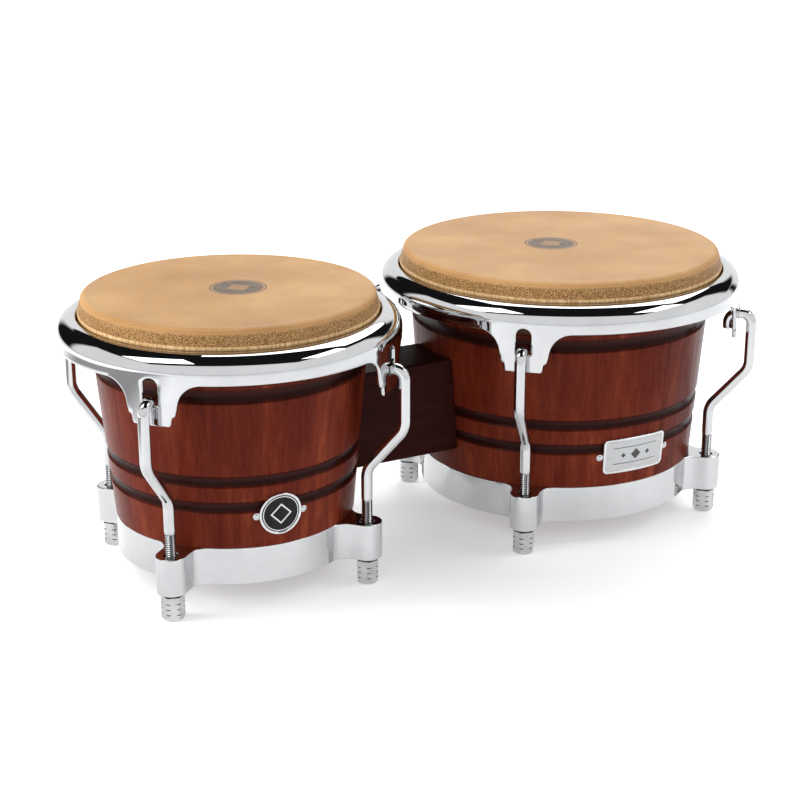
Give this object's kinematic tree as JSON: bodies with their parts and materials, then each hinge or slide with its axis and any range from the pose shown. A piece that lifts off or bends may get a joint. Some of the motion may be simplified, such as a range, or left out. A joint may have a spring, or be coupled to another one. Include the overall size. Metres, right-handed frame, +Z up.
{
  "type": "bongo drums",
  "caption": "Pair of hand drums on a wooden centre block: tapered stave shells, rawhide heads, and chrome rims pulled down by hooked tuning lugs and hexagon nuts.",
  "frame": {"origin": "on the floor under the middle of the pair's bounding box", "axes": "+X from the smaller drum to the larger, +Z up, the side with the badge and nameplate faces -Y"},
  "size_m": [0.477, 0.247, 0.1842],
  "materials": {
    "stained_wood": "satin lacquer over red-brown stain",
    "dark_wood": "satin lacquer over near-black brown stain",
    "bare_hardwood": "bare, sanded",
    "rawhide": "matt, granular collar",
    "chrome": "mirror plated",
    "nut_steel": "satin plated",
    "plated_steel": "zinc plated",
    "hoop_steel": "plain",
    "brass": "machined",
    "badge_metal": "polished edge round a dark face",
    "nameplate_metal": "satin face, polished edge"
  },
  "bodies": {
    "shells_and_block": {"macho_shell": "stained_wood", "macho_bottom_ring": "chrome", "macho_lug_washers": "plated_steel", "macho_inner_saddle": "bare_hardwood", "macho_block_bolts": "plated_steel", "macho_bolt_washers": "plated_steel", "hembra_shell": "stained_wood", "hembra_bottom_ring": "chrome", "hembra_lug_washers": "plated_steel", "hembra_inner_saddle": "bare_hardwood", "hembra_block_bolts": "plated_steel", "hembra_bolt_washers": "plated_steel", "center_block": "dark_wood", "block_inserts": "brass", "macho_badge": "badge_metal", "macho_badge_pins": "badge_metal", "hembra_nameplate": "nameplate_metal", "hembra_nameplate_pins": "nameplate_metal"},
    "macho_tension_set": {"macho_rim": "chrome", "macho_flesh_hoop": "hoop_steel", "macho_head_skin": "rawhide", "macho_lug_front_left": "chrome", "macho_lug_front_right": "chrome", "macho_lug_back_right": "chrome", "macho_lug_back_left": "chrome"},
    "hembra_tension_set": {"hembra_rim": "chrome", "hembra_flesh_hoop": "hoop_steel", "hembra_head_skin": "rawhide", "hembra_lug_front_left": "chrome", "hembra_lug_front_right": "chrome", "hembra_lug_back_right": "chrome", "hembra_lug_back_left": "chrome"},
    "macho_nut_front_left": {"macho_nut_front_left": "nut_steel"},
    "macho_nut_front_right": {"macho_nut_front_right": "nut_steel"},
    "macho_nut_back_right": {"macho_nut_back_right": "nut_steel"},
    "macho_nut_back_left": {"macho_nut_back_left": "nut_steel"},
    "hembra_nut_front_left": {"hembra_nut_front_left": "nut_steel"},
    "hembra_nut_front_right": {"hembra_nut_front_right": "nut_steel"},
    "hembra_nut_back_right": {"hembra_nut_back_right": "nut_steel"},
    "hembra_nut_back_left": {"hembra_nut_back_left": "nut_steel"}
  },
  "joints": [
    {"name": "macho_rim_travel", "type": "slide", "parent": "shells_and_block", "child": "macho_tension_set", "axis": [0, 0, 1], "range_m": [-0.003, 0.003], "deforming": ["macho_head_skin"]},
    {"name": "hembra_rim_travel", "type": "slide", "parent": "shells_and_block", "child": "hembra_tension_set", "axis": [0, 0, 1], "range_m": [-0.003, 0.003], "deforming": ["hembra_head_skin"]},
    {"name": "macho_nut_front_left_turn", "type": "hinge", "parent": "shells_and_block", "child": "macho_nut_front_left", "pos_m": [-0.19945, -0.05964, 0], "axis": [0, 0, 1], "range_deg": [-900, 900]},
    {"name": "macho_nut_front_right_turn", "type": "hinge", "parent": "shells_and_block", "child": "macho_nut_front_right", "pos_m": [-0.07121, -0.0686, 0], "axis": [0, 0, 1], "range_deg": [-900, 900]},
    {"name": "macho_nut_back_right_turn", "type": "hinge", "parent": "shells_and_block", "child": "macho_nut_back_right", "pos_m": [-0.06225, 0.05964, 0], "axis": [0, 0, 1], "range_deg": [-900, 900]},
    {"name": "macho_nut_back_left_turn", "type": "hinge", "parent": "shells_and_block", "child": "macho_nut_back_left", "pos_m": [-0.19049, 0.0686, 0], "axis": [0, 0, 1], "range_deg": [-900, 900]},
    {"name": "hembra_nut_front_left_turn", "type": "hinge", "parent": "shells_and_block", "child": "hembra_nut_front_left", "pos_m": [0.04093, -0.07675, 0], "axis": [0, 0, 1], "range_deg": [-900, 900]},
    {"name": "hembra_nut_front_right_turn", "type": "hinge", "parent": "shells_and_block", "child": "hembra_nut_front_right", "pos_m": [0.1918, -0.07412, 0], "axis": [0, 0, 1], "range_deg": [-900, 900]},
    {"name": "hembra_nut_back_right_turn", "type": "hinge", "parent": "shells_and_block", "child": "hembra_nut_back_right", "pos_m": [0.18917, 0.07675, 0], "axis": [0, 0, 1], "range_deg": [-900, 900]},
    {"name": "hembra_nut_back_left_turn", "type": "hinge", "parent": "shells_and_block", "child": "hembra_nut_back_left", "pos_m": [0.0383, 0.07412, 0], "axis": [0, 0, 1], "range_deg": [-900, 900]}
  ],
  "couplings": [
    {"joint": "macho_nut_front_left_turn", "follows": "macho_rim_travel", "rad_per_m": -4947.4},
    {"joint": "macho_nut_front_right_turn", "follows": "macho_rim_travel", "rad_per_m": -4947.4},
    {"joint": "macho_nut_back_right_turn", "follows": "macho_rim_travel", "rad_per_m": -4947.4},
    {"joint": "macho_nut_back_left_turn", "follows": "macho_rim_travel", "rad_per_m": -4947.4},
    {"joint": "hembra_nut_front_left_turn", "follows": "hembra_rim_travel", "rad_per_m": -4947.4},
    {"joint": "hembra_nut_front_right_turn", "follows": "hembra_rim_travel", "rad_per_m": -4947.4},
    {"joint": "hembra_nut_back_right_turn", "follows": "hembra_rim_travel", "rad_per_m": -4947.4},
    {"joint": "hembra_nut_back_left_turn", "follows": "hembra_rim_travel", "rad_per_m": -4947.4}
  ]
}
